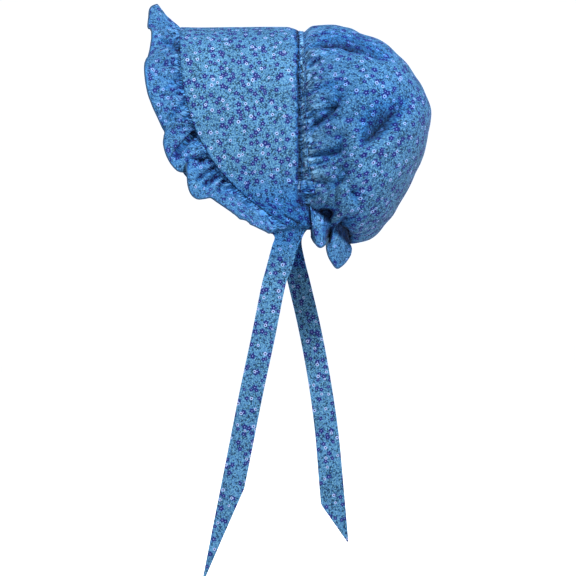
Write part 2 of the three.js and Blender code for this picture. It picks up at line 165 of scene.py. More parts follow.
def seam_dip(behind, drop):
    """How deep the valley is, at a distance behind the seam. At the top its middle is the casing."""
    fade = 1 - smooth(drop, CORNER_DEPTH - 30, CORNER_DEPTH)
    middle = SEAM_DIP_BACK * (1 - smooth(drop, 10, 60))
    return SEAM_DIP * fade * np.exp(-(((behind - middle) / SEAM_DIP_WIDTH) ** 2))


def brim_at(across, forward):
    """A point of the brim's middle layer, and how far it is from the seam."""
    draw_in = lambda leg: LEG_DRAW_IN * (leg / (CORNER_DEPTH - SEAM_HALF_WIDTH)) ** 2
    arch = lambda half: half_arch(np.abs(across), half, half, BRIM_HEIGHT - half)
    seam_drop = arch(SEAM_HALF_WIDTH)[1]
    square = 1 - (seam_drop / BRIM_HEIGHT) ** BRIM_CORNER_POWER
    front = BRIM_FRONT_LEAN * seam_drop / CORNER_DEPTH - mix(BRIM_DEPTH_JAW, BRIM_DEPTH_TOP, square)
    to_front = forward * (seam_back(seam_drop) - front)
    x, drop, turn, leg = arch(SEAM_HALF_WIDTH + BRIM_FLARE * to_front / BRIM_DEPTH_TOP)
    dip = seam_dip(-to_front, drop)
    x = x - draw_in(leg) - dip * np.sin(turn)
    y, z = seam_back(seam_drop) - to_front, TOP - drop - dip * np.cos(turn)
    return together(np.sign(across) * x, y, z), to_front


def in_picture(points):
    """y and z of points as the picture shows them, with the far side seen like the near one."""
    nearer = CAMERA_AWAY / (CAMERA_AWAY - np.abs(points[..., 0]))
    return (PICTURE_MIDDLE[i] + (points[..., i] - PICTURE_MIDDLE[i]) * nearer for i in (1, 2))


def beside(y, z, y1, z1, y2, z2):
    """The nearest place on a straight line between two points, as a share of it, and how far it is."""
    run_y, run_z = y2 - y1, z2 - z1
    share = np.clip(((y - y1) * run_y + (z - z1) * run_z) / (run_y**2 + run_z**2), 0, 1)
    return share, np.hypot(y - y1 - share * run_y, z - z1 - share * run_z)


def short_creases(points, lines):
    """How deep the short creases of the wearer's left side are at some points, and how much shade is
    painted there.
    """
    y, z = in_picture(points)
    depth, dark = 0, 0
    for *ends, deep, shade, wide in lines:
        near = (points[..., 0] > 0) * np.exp(-((beside(y, z, *ends)[1] / wide) ** 2))
        depth, dark = depth + deep * near, dark + shade * near
    return depth, dark


def fine_ends(length, count):
    """Shares of a length, evenly spaced, with a few more at both ends for a rounded edge."""
    ends = np.array([0.15, 0.45, 0.9, 1.5, 2.2]) / length
    return np.unique(np.concatenate([np.linspace(0, 1, count), ends, 1 - ends]))


def facing(points):
    """The directions that the front of a grid of points faces: columns run right and rows run down."""
    direction = np.cross(np.gradient(points, axis=0), np.gradient(points, axis=1))
    length = np.linalg.norm(direction, axis=-1, keepdims=True)
    return direction / np.maximum(length, 1e-9)


def add_object(name, points, faces, materials):
    """An object from points in millimetres and the faces between them."""
    mesh = bpy.data.meshes.new(name)
    mesh.from_pydata((points.reshape(-1, 3) / 1000).tolist(), [], faces)
    mesh.polygons.foreach_set("use_smooth", np.ones(len(mesh.polygons), bool))
    for material in materials:
        mesh.materials.append(material)
    thing = bpy.data.objects.new(name, mesh)
    bpy.context.collection.objects.link(thing)
    return thing


def sew_cloth(name, points, half_thickness, cut, painted_shade, gathered, face_side, wrong_side):
    """A closed piece of cloth from a grid of points in its middle, with its two sides and its rim.
    cut is where each point is on the flat cloth. The shade painted into the colour is given from 0 to 1
    as a bluer shade in folds and creases, and from 1 to 2 as a much darker one where the cloth is
    creased more finely than the mesh shows. gathered is a place along the gathering thread and a
    distance from it."""
    rows, columns = points.shape[:2]
    count = rows * columns
    offset = facing(points) * np.broadcast_to(half_thickness, (rows, columns))[..., None]
    both = np.concatenate([(points + offset).reshape(-1, 3), (points - offset).reshape(-1, 3)])
    k = np.arange(count).reshape(rows, columns)
    quad = lambda a, b, c, d: np.stack([a, b, c, d], axis=-1).reshape(-1, 4)
    front = quad(k[:-1, :-1], k[1:, :-1], k[1:, 1:], k[:-1, 1:])
    rim = np.concatenate([
        quad(k[0, :-1], k[0, 1:], count + k[0, 1:], count + k[0, :-1]),
        quad(k[-1, :-1], count + k[-1, :-1], count + k[-1, 1:], k[-1, 1:]),
        quad(k[:-1, 0], count + k[:-1, 0], count + k[1:, 0], k[1:, 0]),
        quad(k[:-1, -1], k[1:, -1], count + k[1:, -1], count + k[:-1, -1]),
    ])
    faces = np.concatenate([front, rim, count + front[:, ::-1]])
    cloth = add_object(name, both, faces.tolist(), [face_side, wrong_side])
    mesh = cloth.data
    side = np.arange(len(faces)) >= len(front) + len(rim)
    mesh.polygons.foreach_set("material_index", side.astype(np.int32))
    corners = np.empty(len(mesh.loops), np.int32)
    mesh.loops.foreach_get("vertex_index", corners)
    along, away = (np.broadcast_to(value, (rows, columns)) for value in gathered)
    for key, flat in (("cut", cut), ("gathers", together(along, away))):
        twice = np.tile(flat.reshape(-1, 2), (2, 1))
        mesh.uv_layers.new(name=key).uv.foreach_set("vector", (twice[corners] / 1000).ravel())
    shade = np.broadcast_to(np.clip(painted_shade, 0, 2), (rows, columns)).ravel().astype(np.float32)
    mesh.attributes.new("painted_shade", "FLOAT", "POINT").data.foreach_set("value", np.tile(shade, 2))
    mesh.validate()
    return cloth


def lengths_along(points, axis):
    """How far along a grid's rows or columns each of its points is."""
    steps = np.linalg.norm(np.diff(points, axis=axis), axis=-1)
    start = np.zeros_like(np.take(steps, [0], axis=axis))
    return np.concatenate([start, np.cumsum(steps, axis=axis)], axis=axis)


def sew_stitches(name, line, outward, lift, thread, stitch=2.1, gap=0.5, width=0.42, rise=0.3):
    """A row of stitches along a line of the cloth's middle, lifted to lie on its outer side."""
    path = line + lift * outward
    along = lengths_along(path, 0)
    starts = np.arange(0.5, along[-1] - stitch, stitch + gap)
    at = lambda s, values: np.stack([np.interp(s, along, values[:, i]) for i in range(3)], axis=-1)
    first, last, up = at(starts, path), at(starts + stitch, path), at(starts + stitch / 2, outward)
    run = last - first
    aside = np.cross(run, up)
    aside *= width / 2 / np.linalg.norm(aside, axis=-1, keepdims=True)
    ring = lambda t: [mix(first, last, t) + a * aside + u * up for a, u in
                      ((-1, 0.02), (-0.5, rise), (0.5, rise), (1, 0.02))]
    shape = np.stack([first, *ring(0.2), *ring(0.8), last], axis=1)
    one = [(0, 2, 1), (0, 3, 2), (0, 4, 3), (1, 2, 6, 5), (2, 3, 7, 6), (3, 4, 8, 7),
           (9, 5, 6), (9, 6, 7), (9, 7, 8)]
    faces = [tuple(10 * i + v for v in face) for i in range(len(starts)) for face in one]
    row = add_object(name, shape, faces, [thread])
    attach(row, "root")
    return row


def colour(red, green, blue):
    """A colour given as it looks on screen, 0 to 255."""
    value = np.array([red, green, blue]) / 255
    return (*np.where(value <= 0.04045, value / 12.92, ((value + 0.055) / 1.055) ** 2.4), 1)


def add(tree, kind, settings=(), **inputs):
    """Adds a node. An input is a plain value or the output of another node."""
    made = tree.nodes.new("ShaderNode" + kind)
    for name, value in dict(settings).items():
        setattr(made, name, value)
    for name, value in inputs.items():
        key = int(name[1:]) if name[1:].isdigit() and name[0] == "i" else name.replace("_", " ")
        if isinstance(value, bpy.types.NodeSocket):
            tree.links.new(value, made.inputs[key])
        else:
            made.inputs[key].default_value = value
    return made


def count(tree, operation, *values):
    """A Math node's result."""
    inputs = {f"i{i}": value for i, value in enumerate(values)}
    return add(tree, "Math", {"operation": operation}, **inputs).outputs[0]


def vectors(tree, operation, *values, **inputs):
    """A Vector Math node's results."""
    inputs.update({f"i{i}": value for i, value in enumerate(values)})
    return add(tree, "VectorMath", {"operation": operation}, **inputs).outputs


def noise(tree, place, scale, result="Fac", **inputs):
    """Flat noise, from 0 to 1."""
    made = add(tree, "TexNoise", {"noise_dimensions": "2D"}, Vector=place, Scale=scale, **inputs)
    return made.outputs[result]


def stretch(tree, value, low, high, at_low, at_high):
    """A value taken from one range to another and held at its ends."""
    return add(tree, "MapRange", (), i0=value, i1=low, i2=high, i3=at_low, i4=at_high).outputs[0]


def blend_colours(tree, share, below, above, way="MIX"):
    """One colour over another by a share."""
    made = add(tree, "Mix", {"data_type": "RGBA", "blend_type": way}, i0=share, i6=below, i7=above)
    return made.outputs[2]


def print_motifs(tree, place, below, spacing, size, lobes, depth, kept, stops):
    """Prints a small motif once in every cell of a scatter: lobed, turned and sized by chance.
    stops gives its colours from the middle outwards."""
    cells = add(tree, "TexVoronoi", {"voronoi_dimensions": "2D"}, Vector=place, Scale=1 / spacing)
    local = vectors(tree, "SUBTRACT", place, cells.outputs["Position"])[0]
    chance = add(tree, "SeparateColor", (), Color=cells.outputs["Color"]).outputs
    axes = add(tree, "SeparateXYZ", (), Vector=local).outputs
    radius = vectors(tree, "LENGTH", local)["Value"]
    turned = count(tree, "MULTIPLY_ADD", chance[0], 6.283, count(tree, "ARCTAN2", axes[1], axes[0]))
    lobe = count(tree, "ABSOLUTE", count(tree, "COSINE", count(tree, "MULTIPLY", turned, lobes / 2)))
    edge = count(tree, "MULTIPLY_ADD", lobe, depth * size, (1 - depth) * size)
    sized = count(tree, "MULTIPLY", edge, count(tree, "MULTIPLY_ADD", chance[1], 0.4, 0.75))
    off_middle = count(tree, "DIVIDE", radius, sized)
    ramp = add(tree, "ValToRGB", (), Fac=off_middle)
    for i, (at, rgb) in enumerate(stops):
        stop = ramp.color_ramp.elements[i] if i < 2 else ramp.color_ramp.elements.new(at)
        stop.position, stop.color = at, colour(*rgb)
    inside = stretch(tree, off_middle, 0.9, 1.1, 1, 0)
    here = count(tree, "MULTIPLY", inside, count(tree, "LESS_THAN", chance[2], kept))
    return blend_colours(tree, here, below, ramp.outputs["Color"])


def printed_cotton(name, ground=(33, 63, 91), fade=0.0, roughness=0.84):
    """Calico with a scattered print of small flowers and sprigs. fade makes its wrong side.
    Shade is painted into its colour where folds and creases are, with painted shade and highlights on
    its fine tucks."""
    cotton = bpy.data.materials.new(name)
    cotton.use_nodes = True
    tree = cotton.node_tree
    face = tree.nodes["Principled BSDF"]
    cut = add(tree, "UVMap", {"uv_map": "cut"}).outputs["UV"]
    flat = vectors(tree, "SCALE", cut, Scale=1000)[0]
    place = vectors(tree, "MULTIPLY_ADD", noise(tree, flat, 0.9, "Color"), (0.9, 0.9, 0), flat)[0]

    # The ground: dye that took unevenly, with paler and darker specks.
    ramp = add(tree, "ValToRGB", (), Fac=noise(tree, flat, 0.035, Detail=3))
    for i, (at, k, d) in enumerate(((0.3, 0.92, -2), (0.7, 1.05, 3))):
        ramp.color_ramp.elements[i].position = at
        ramp.color_ramp.elements[i].color = colour(*np.clip(np.array(ground) * k + d, 0, 255))
    speck = noise(tree, flat, 0.62, Detail=2)
    pale, dark = stretch(tree, speck, 0.53, 0.65, 0, 0.85), stretch(tree, speck, 0.46, 0.33, 0, 0.8)
    cloth = blend_colours(tree, pale, ramp.outputs["Color"], colour(57, 90, 107))
    cloth = blend_colours(tree, dark, cloth, colour(8, 36, 66))

    # The print: strokes in clumps, three-leaved sprigs, purple flowers, white flowers.
    clump = stretch(tree, noise(tree, flat, 0.11, Detail=1.0), 0.42, 0.6, 0.26, 0.48)
    stroke = [(0.0, (5, 22, 34)), (0.7, (8, 28, 42)), (1.0, (16, 40, 58))]
    cloth = print_motifs(tree, place, cloth, 2.5, 1.42, 2, 0.9, clump, stroke)
    sprig = [(0.0, (4, 16, 40)), (0.7, (6, 22, 44)), (1.0, (12, 32, 54))]
    cloth = print_motifs(tree, place, cloth, 6.0, 2.0, 3, 0.93, 0.45, sprig)
    purple = [(0.0, (84, 94, 132)), (0.15, (62, 70, 114)), (0.3, (8, 12, 50)), (0.75, (8, 13, 54)),
              (1.0, (16, 30, 80))]
    cloth = print_motifs(tree, place, cloth, 9.6, 3.3, 5, 0.5, 0.66, purple)
    white = [(0.0, (6, 7, 34)), (0.4, (9, 11, 42)), (0.56, (93, 104, 134)), (1.0, (66, 88, 120))]
    shifted = vectors(tree, "ADD", place, (57.3, 21.9, 0))[0]
    cloth = print_motifs(tree, shifted, cloth, 15, 2.15, 6, 0.25, 0.85, white)
    if fade:
        cloth = blend_colours(tree, fade, cloth, colour(*(0.5 * (np.array(ground) + (60, 88, 112)))))

    # Fine tucks along the gathering thread, with painted shade in their valleys and a painted highlight
    # on their ridges.
    thread_map = add(tree, "UVMap", {"uv_map": "gathers"}).outputs["UV"]
    from_thread = vectors(tree, "SCALE", thread_map, Scale=1000)[0]
    axes = add(tree, "SeparateXYZ", (), Vector=from_thread).outputs
    slanted = count(tree, "MULTIPLY_ADD", axes[1], 0.36, axes[0])
    drawn = add(tree, "CombineXYZ", (), X=slanted, Y=count(tree, "MULTIPLY", axes[1], 0.42)).outputs[0]
    tuck = noise(tree, drawn, 0.23, Detail=2.4, Distortion=0.7)
    off_tuck = count(tree, "ABSOLUTE", count(tree, "SUBTRACT", tuck, 0.5))
    tight = count(tree, "EXPONENT", count(tree, "MULTIPLY", count(tree, "ABSOLUTE", axes[1]), -0.06))
    valley = count(tree, "MULTIPLY", stretch(tree, off_tuck, 0.015, 0.07, 1, 0), tight)
    ridge = count(tree, "MULTIPLY", stretch(tree, off_tuck, 0.07, 0.15, 0, 0.75), tight)
    cloth = blend_colours(tree, valley, cloth, (0.12, 0.22, 0.38, 1), "MULTIPLY")
    cloth = blend_colours(tree, ridge, cloth, colour(76, 106, 132))
    # Painted shade from each mesh's attribute: bluer from 0 to 1, and much darker from 1 to 2.
    painted_shade = add(tree, "Attribute", {"attribute_name": "painted_shade"}).outputs["Fac"]
    cloth = blend_colours(tree, painted_shade, cloth, (0.3, 0.62, 0.96, 1), "MULTIPLY")
    deep = stretch(tree, painted_shade, 1, 2, 0, 1)
    cloth = blend_colours(tree, deep, cloth, (0.3, 0.27, 0.36, 1), "MULTIPLY")
    tree.links.new(cloth, face.inputs["Base Color"])

    threads = noise(tree, flat, 0.25, Detail=4)
    rough = stretch(tree, threads, 0.2, 0.8, roughness - 0.08, roughness + 0.1)
    tree.links.new(rough, face.inputs["Roughness"])
    face.inputs["Specular IOR Level"].default_value = 0.04
    face.inputs["Sheen Weight"].default_value = 0.02
    face.inputs["Sheen Tint"].default_value = (0.5, 0.7, 1, 1)
    face.inputs["Sheen Roughness"].default_value = 0.45

    # The weave, the crumple of worn cotton, and the tucks' own height.
    yarn = dict(Vector=flat, Scale=0.9, Distortion=0.6)
    warp, weft = (add(tree, "TexWave", {"bands_direction": way}, **yarn).outputs["Fac"] for way in "XY")
    crumple = noise(tree, flat, 0.11, Detail=3, Roughness=0.55)
    height = count(tree, "MULTIPLY_ADD", count(tree, "MAXIMUM", warp, weft), 0.04, crumple)
    bump = add(tree, "Bump", (), Height=height, Strength=0.6, Distance=0.0011).outputs[0]
    folds = count(tree, "MULTIPLY", count(tree, "MINIMUM", off_tuck, 0.14), tight)
    bump = add(tree, "Bump", (), Height=folds, Strength=1.0, Distance=0.006, Normal=bump).outputs[0]
    tree.links.new(bump, face.inputs["Normal"])
    return cotton


def thread_of(name, rgb):
    """Spun thread or a turned edge, in a slightly uneven colour."""
    thread = bpy.data.materials.new(name)
    thread.use_nodes = True
    tree = thread.node_tree
    face = tree.nodes["Principled BSDF"]
    spun = add(tree, "TexNoise", (), Scale=900, Detail=2).outputs["Fac"]
    ramp = add(tree, "ValToRGB", (), Fac=spun)
    ramp.color_ramp.elements[0].color = colour(*(np.array(rgb) * 0.7))
    ramp.color_ramp.elements[1].color = colour(*np.minimum(np.array(rgb) * 1.25, 255))
    tree.links.new(ramp.outputs["Color"], face.inputs["Base Color"])
    bump = add(tree, "Bump", (), Height=spun, Strength=0.4, Distance=0.0002)
    tree.links.new(bump.outputs[0], face.inputs["Normal"])
    face.inputs["Roughness"].default_value = 0.8
    face.inputs["Specular IOR Level"].default_value = 0.1
    face.inputs["Sheen Weight"].default_value = 0.03
    return thread


cotton_face = printed_cotton("printed_cotton_face")
cotton_back = printed_cotton("printed_cotton_wrong_side", fade=0.55, roughness=0.88)
blue_thread = thread_of("blue_thread", (26, 56, 90))

arch_length = np.pi / 2 * SEAM_HALF_WIDTH + BRIM_HEIGHT - SEAM_HALF_WIDTH
across = 2 * fine_ends(2 * arch_length, BRIM_COLUMNS)[None, :] - 1
forward = fine_ends(BRIM_DEPTH_TOP, BRIM_ROWS)[:, None]
brim_points, from_seam = brim_at(across, forward)
seam_place = across * arch_length
pucker_place = seam_place / 6 + from_seam / 12, from_seam / 12, 3
puckers = 1.5 * np.exp(-from_seam / 8) * pleats(*pucker_place)
to_edge = brim_at(across, 1.0)[1] - from_seam
puckers = puckers + 0.5 * np.exp(-to_edge / 5) * pleats(seam_place / 5, to_edge / 11, 4)
ripple = 0.9 * random_heights(seam_place / 45, from_seam / 38, 5)
ripple = ripple * smooth(from_seam, 4, 30) * smooth(to_edge, 2, 20)
brim_creased, brim_lines = short_creases(brim_points, BRIM_CREASES)
brim_points = brim_points + facing(brim_points) * (ripple - brim_creased + puckers)[..., None]
wobble = random_heights(seam_place / 4, 0, 7) * smooth(np.abs(seam_place), 10, 40)
brim_points[..., 1] += 0.9 * np.exp(-from_seam / 2.5) * wobble
edge_distance = np.minimum(np.minimum(from_seam, to_edge), (1 - np.abs(across)) * arch_length)
rounding = np.sqrt(1 - (1 - np.minimum(edge_distance / BRIM_HALF_THICKNESS, 1)) ** 2)
brim_thickness = np.maximum(BRIM_HALF_THICKNESS * rounding, 0.2)
brim_cut = together(seam_place, -from_seam)
# Painted shade: darkest, and mottled, in the valley along the seam, fading forward from it; in the short
# creases, the puckers' valleys and along the front edge; and more towards the bottom and the top.
spots, brim_z = random_heights(seam_place / 3, from_seam / 3, 6), brim_points[..., 2]
shade_to_paint = np.exp(-((from_seam / 2.4) ** 2)) * (1.9 + 0.5 * spots) + brim_lines
shade_to_paint = shade_to_paint + 0.45 * np.exp(-from_seam / 7) * (1 + spots) + 0.5 * np.exp(-to_edge / 3)
shade_to_paint = shade_to_paint + 0.35 * creases(*pucker_place) * np.exp(-from_seam / 14)
shade_to_paint = shade_to_paint + 0.95 * smooth(TOP - brim_z, 160, 225) + 0.3 * smooth(brim_z, -45, 0)
# The brim isn't gathered itself: the seam only puckers it, less than half as far as the crown.
gathered = (seam_place, -2.2 * from_seam - 14)
brim = sew_cloth("brim_cloth", brim_points, brim_thickness, brim_cut, shade_to_paint, gathered,
                 cotton_face, cotton_face)
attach(brim, "root")
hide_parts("brim")

# The ruffle round the brim's front edge: one long strip of the same calico, gathered into fine
# pleats at its seam, with a narrow rolled hem. Away from the seam it stands in broad waves.
# Where its hem is on the wearer's left: x is how far out, y and z as the picture shows them. at is
# the place along the seam, from the top. The other side has the same waves at other places.
RUFFLE_HEM = """
at    x    y      z
0     0    -167.8 34
13    14   -175.7 30
25    24   -177.6 17.5
35    34   -178.4 7
41    40   -175.4 5
49    46   -174   2.5
60    54   -174.2 -8
75    64   -176.4 -21.5
95    76   -180.6 -32
124   88   -182.4 -41
144   95   -181.2 -58.5
158   98   -178.4 -72
168   99   -174.6 -82.5
176   98   -171.6 -90
187   95   -166.2 -102
197   91   -161.4 -112.5
203   87   -158.2 -118.5
207   91   -158.9 -123
215   99   -159.8 -132.5
226   103  -156.6 -145
236   102  -150   -157
242   97   -142.2 -165
247   89   -133.8 -166
250.5 80   -127.8 -160.5
253.5 84   -128.4 -152
256   96   -132   -156
260   103  -132   -169
265   104  -130.2 -183
270   102  -126.6 -193
276   98   -119.4 -198.5
281   90   -110.4 -198
285   87   -103.2 -197
291   97   -95.4  -202.5
299   106  -84    -210
307   108  -74.4  -216
315   106  -63.6  -223
322   101  -54.6  -229
329   93   -44.4  -234.5
335   83   -36.6  -237.5
341   74   -31.8  -239
347   66   -25    -235
"""
RUFFLE_END = 347
RUFFLE_COLUMNS = 760
RUFFLE_MIDDLE_ROW = 16
RUFFLE_TUCK = 2
RUFFLE_CUT_AT = 310
FAR_WARP = 7
FAR_SHARE = 0.92
CLOTH_HALF_THICKNESS = 0.22
HEM_HALF_THICKNESS = 0.42
HEM_WIDTH = 3.0
STITCH_LIFT = 0.4
# Sharp creases: where each starts along the seam, how it leans, how deep it is, how far its slopes
# run before and after it, and how far from the seam it reaches.
RUFFLE_CREASES = [
    (46, -0.1, 3, 5, 2, 34), (70, 0.5, 2, 6, 3, 24), (112, 0.35, 2, 6, 3, 26),
    (150, 0.2, 2, 6, 3, 22), (217, 0.4, 8, 8, 2.5, 40), (251, 0.1, 5, 4, 1.8, 34),
    (262, 0.15, 6, 5, 2, 38), (270, 0.1, 5, 4, 2, 30), (281, 0.1, 5, 6, 3, 22),
    (294, 0.2, 3, 5, 3, 20), (312, 0.2, 3, 5, 3, 18),
]
# Short creases where the ruffle buckles, listed like the brim's. A negative depth is a ridge, and a
# negative shade a painted highlight on it.
RUFFLE_LINES = [
    (-123.6, -118.6, -148.8, -147.4, 4, 1.4, 2.2), (-121, -124, -144, -150, 3, 0.3, 6),
    (-112.8, -152.8, -128.4, -150.4, 2.5, 1.3, 1.8), (-132, -149, -130.8, -164, 2, 1, 1.6),
    (-100.8, -161.8, -120, -176.2, 3, 1.5, 1.8), (-93.6, -171.4, -112.8, -182.2, 2.5, 1.3, 1.8),
    (-88.8, -177.4, -94.8, -188.2, 2, 1.2, 1.6), (-108, -168, -124, -184, -1.5, -0.35, 3),
    (-136, -22, -162, -8, 2.5, 0.5, 3), (-140, -54, -158, -66, 1.5, 0.5, 2.5),
    (-136, -84, -152, -100, 2, 0.6, 2.5),
]


def read_table(text):
    """Columns of numbers under their names."""
    names, *lines = (line.split() for line in text.strip().splitlines())
    return {name: np.array([float(line[i]) for line in lines]) for i, name in enumerate(names)}


def through_rows(values, place):
    """A smooth curve through a column of values, at a place counted in rows."""
    ends = np.concatenate([[2 * values[0] - values[1]], values, [2 * values[-1] - values[-2]]])
    i = np.clip(np.floor(place).astype(int), 0, len(values) - 2)
    t = place - i
    a, b, c, d = (ends[i + k] for k in range(4))
    return b + 0.5 * ((c - a) * t + (2 * a - 5 * b + 4 * c - d) * t**2 + (3 * (b - c) + d - a) * t**3)


def along_table(table, name, at):
    """The value of a column at places of its column "at", on a smooth curve."""
    return through_rows(table[name], np.interp(at, table["at"], np.arange(len(table["at"]))))


def as_seen(table):
    """The real places of a table of points on the near side, whose y and z are those in the picture."""
    share = (1 - table["x"] / CAMERA_AWAY)[:, None]
    flat = np.stack([table["y"], table["z"]], axis=-1)
    return np.column_stack([table["x"], PICTURE_MIDDLE[1:] + (flat - PICTURE_MIDDLE[1:]) * share])


def brim_edge(across):
    """The brim's front edge, and the directions along it, forward of it and out of the cloth there."""
    step = 1e-3
    edge = brim_at(across, 1.0)[0]
    inner = np.clip(across, -1 + step, 1 - step)
    along = unit(brim_at(inner + step, 1.0)[0] - brim_at(inner - step, 1.0)[0])
    forward = edge - brim_at(across, 0.99)[0]
    forward = unit(forward - along * (forward * along).sum(-1, keepdims=True))
    return edge, along, forward, np.cross(forward, along)


def ruffle_creases(place, distance):
    """How deep the sharp creases press the ruffle in, and where they are."""
    depth, line = 0, 0
    for start, lean, deep, before, after, reach in RUFFLE_CREASES:
        away = np.abs(place) - start - lean * distance
        fade = smooth(distance, 0, 3) * (1 - smooth(distance, reach - 12, reach))
        shape = np.exp(-np.abs(away) / np.where(away < 0, before, after))
        depth = depth + deep * fade * shape
        line = line + fade * min(deep / 5, 1) * np.exp(-np.abs(away) / 1.1)
    return depth, np.minimum(line, 1)


def ruffle_pleats(heights, place, distance):
    """The ruffle's fine pleats and its broad ones."""
    return heights(place / 4.2, distance / 30, 11), heights(place / 10, distance / 60, 12)


def ruffle_at(across, out):
    """Points of the ruffle. across runs along the brim's edge, out from the seam to the hem."""
    table = read_table(RUFFLE_HEM)
    edge, along, forward, outward = brim_edge(table["at"] / RUFFLE_END)
    hem = as_seen(table) - edge
    for name, direction in (("reach", forward), ("rise", outward), ("slip", along)):
        table[name] = (hem * direction).sum(-1)
    edge, along, forward, outward = brim_edge(across)
    edge_place, place = across * RUFFLE_END, np.abs(across) * RUFFLE_END
    far_place = place + FAR_WARP * np.sin(place / 19) * smooth(RUFFLE_END - place, 0, 40)
    far_share = FAR_SHARE - 0.22 * smooth(place, 240, 310)
    far = lambda name: far_share * along_table(table, name, far_place)
    value = lambda name: np.where(across < 0, far(name), along_table(table, name, place))
    reach, rise, slip = value("reach"), value("rise"), value("slip") * np.sign(across)
    width, lift = np.hypot(reach, rise), np.arctan2(rise, reach)
    distance = out * width
    fine, broad = ruffle_pleats(pleats, edge_place, distance)
    fine = 1.6 * smooth(distance, 0, 2.5) * np.exp(-distance / 8) * fine
    broad = 3.2 * smooth(distance, 2, 9) * np.exp(-distance / 24) * broad
    soft = 0.9 * smooth(out, 0.3, 1) * random_heights(edge_place / 17, distance / 40, 13)
    relief = (fine + broad + soft - ruffle_creases(edge_place, distance)[0])[..., None]
    lifted = rise * out ** mix(1.0, 1.2, smooth(place, 20, 80))
    point = edge + forward * (0.3 + reach * out)[..., None] + outward * lifted[..., None]
    up = outward * np.cos(lift)[..., None] - forward * np.sin(lift)[..., None]
    return point + up * relief + along * (slip * out**1.6)[..., None]


def hem_thickness(to_hem, cloth=CLOTH_HALF_THICKNESS, hem=HEM_HALF_THICKNESS, width=HEM_WIDTH):
    """Half the thickness of the cloth near a narrow turned hem."""
    return cloth + (hem - cloth) * smooth(width - to_hem, -0.3, 0.3)


across = np.linspace(-1, 1, RUFFLE_COLUMNS)[None, :]
finer = [0.03, 0.07, 0.925, 0.94, 0.97, 0.99, 1]
out = np.unique(np.concatenate([np.linspace(0, 0.9, 24), finer]))[:, None]
ruffle_points = ruffle_at(*np.broadcast_arrays(across, out))
ruffle_along = lengths_along(ruffle_points[RUFFLE_MIDDLE_ROW][None], 1)
ruffle_out = lengths_along(ruffle_points, 0)
pressed = short_creases(ruffle_points, RUFFLE_LINES)[0][..., None]
ruffle_points[1:] -= (facing(ruffle_points) * pressed)[1:]
ruffle_points[0] -= RUFFLE_TUCK * brim_edge(across[0])[2]
ruffle_cut = together(ruffle_along, -ruffle_out + RUFFLE_CUT_AT)
to_hem = ruffle_out[-1:] - ruffle_out
seam_place = across * RUFFLE_END
fine_lines, broad_lines = ruffle_pleats(creases, seam_place, ruffle_out)
# Painted shade: a little all over, more next to the seam and in a band along the hem, and in the valleys
# of the fine and broad pleats, the sharp creases and the short creases, with a painted highlight on the
# short ridge.
shade_to_paint = 0.4 + 0.2 * np.exp(-ruffle_out / 7) + 0.8 * np.exp(-to_hem / 1.3)
shade_to_paint = shade_to_paint + 0.8 * np.exp(-ruffle_out / 8) * fine_lines
shade_to_paint = shade_to_paint + 0.7 * np.exp(-ruffle_out / 20) * broad_lines
shade_to_paint = shade_to_paint + 0.75 * ruffle_creases(seam_place, ruffle_out)[1]
shade_to_paint = shade_to_paint + short_creases(ruffle_points, RUFFLE_LINES)[1]
ruffle = sew_cloth("ruffle_cloth", ruffle_points, hem_thickness(to_hem), ruffle_cut, shade_to_paint,
                   (seam_place, 1.2 * ruffle_out), cotton_face, cotton_back)
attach(ruffle, "root")
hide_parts("brim_ruffle")


def roll_hem(name, path, thread, radius=0.95, sides=6):
    """The rolled edge of a hem, a thin tube along it."""
    run = unit(np.gradient(path, axis=0))
    aside = unit(np.cross(run, (0.31, 0.17, 0.93)))
    up = np.cross(aside, run)
    angles = (np.arange(sides) * 2 * np.pi / sides)[:, None]
    ring = np.cos(angles) * aside[:, None, :] + np.sin(angles) * up[:, None, :]
    k = np.arange(len(path) * sides).reshape(len(path), sides)
    turned = np.roll(k, -1, axis=1)
    faces = np.stack([k[:-1], turned[:-1], turned[1:], k[1:]], axis=-1).reshape(-1, 4).tolist()
    faces += [k[0][::-1].tolist(), k[-1].tolist()]
    roll = add_object(name, path[:, None, :] + radius * ring, faces, [thread])
    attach(roll, "root")
    return roll


teal_edge = thread_of("teal_edge", (9, 34, 54))
ruffle_hem = roll_hem("ruffle_hem", ruffle_points[-1], teal_edge)
row = int(np.argmin(np.abs(to_hem[:, RUFFLE_COLUMNS // 2] - HEM_WIDTH)))
hem_stitches = sew_stitches("ruffle_hem_stitches", ruffle_points[row], facing(ruffle_points)[row],
                            STITCH_LIFT, blue_thread)

# The crown and the neck ruffle: one horseshoe of calico. Its long curved edge is gathered to the
# brim, its straight edge is drawn in at the nape, and what is left below the drawstring flares out
# as a ruffle. The cloth puffs between the two, with a few deep folds that run back from the seam.
CROWN_SECTIONS = """
fan   reach  half_width
93.7  214.5  84
84    219.3  89
74    219    94
64    215.5  98
54    206    101.5
44.5  195    104
36    181    104
27    157    102
17    134    98
5     113    93
-10   97     86
-25   85     77
-40.7 66     66
"""
CORNER_BACK = 14
CORNER_RADIUS = 1
SEAM_GAP = 0.1
TUCK_IN = 1.4
TUCK_FORWARD = 3.6
SEAM_EASE = 0.3
SEAM_LENGTH = 262
NECK_LENGTH = 105
CASING_ZONE = 11
CROWN_CUT_AT = 900


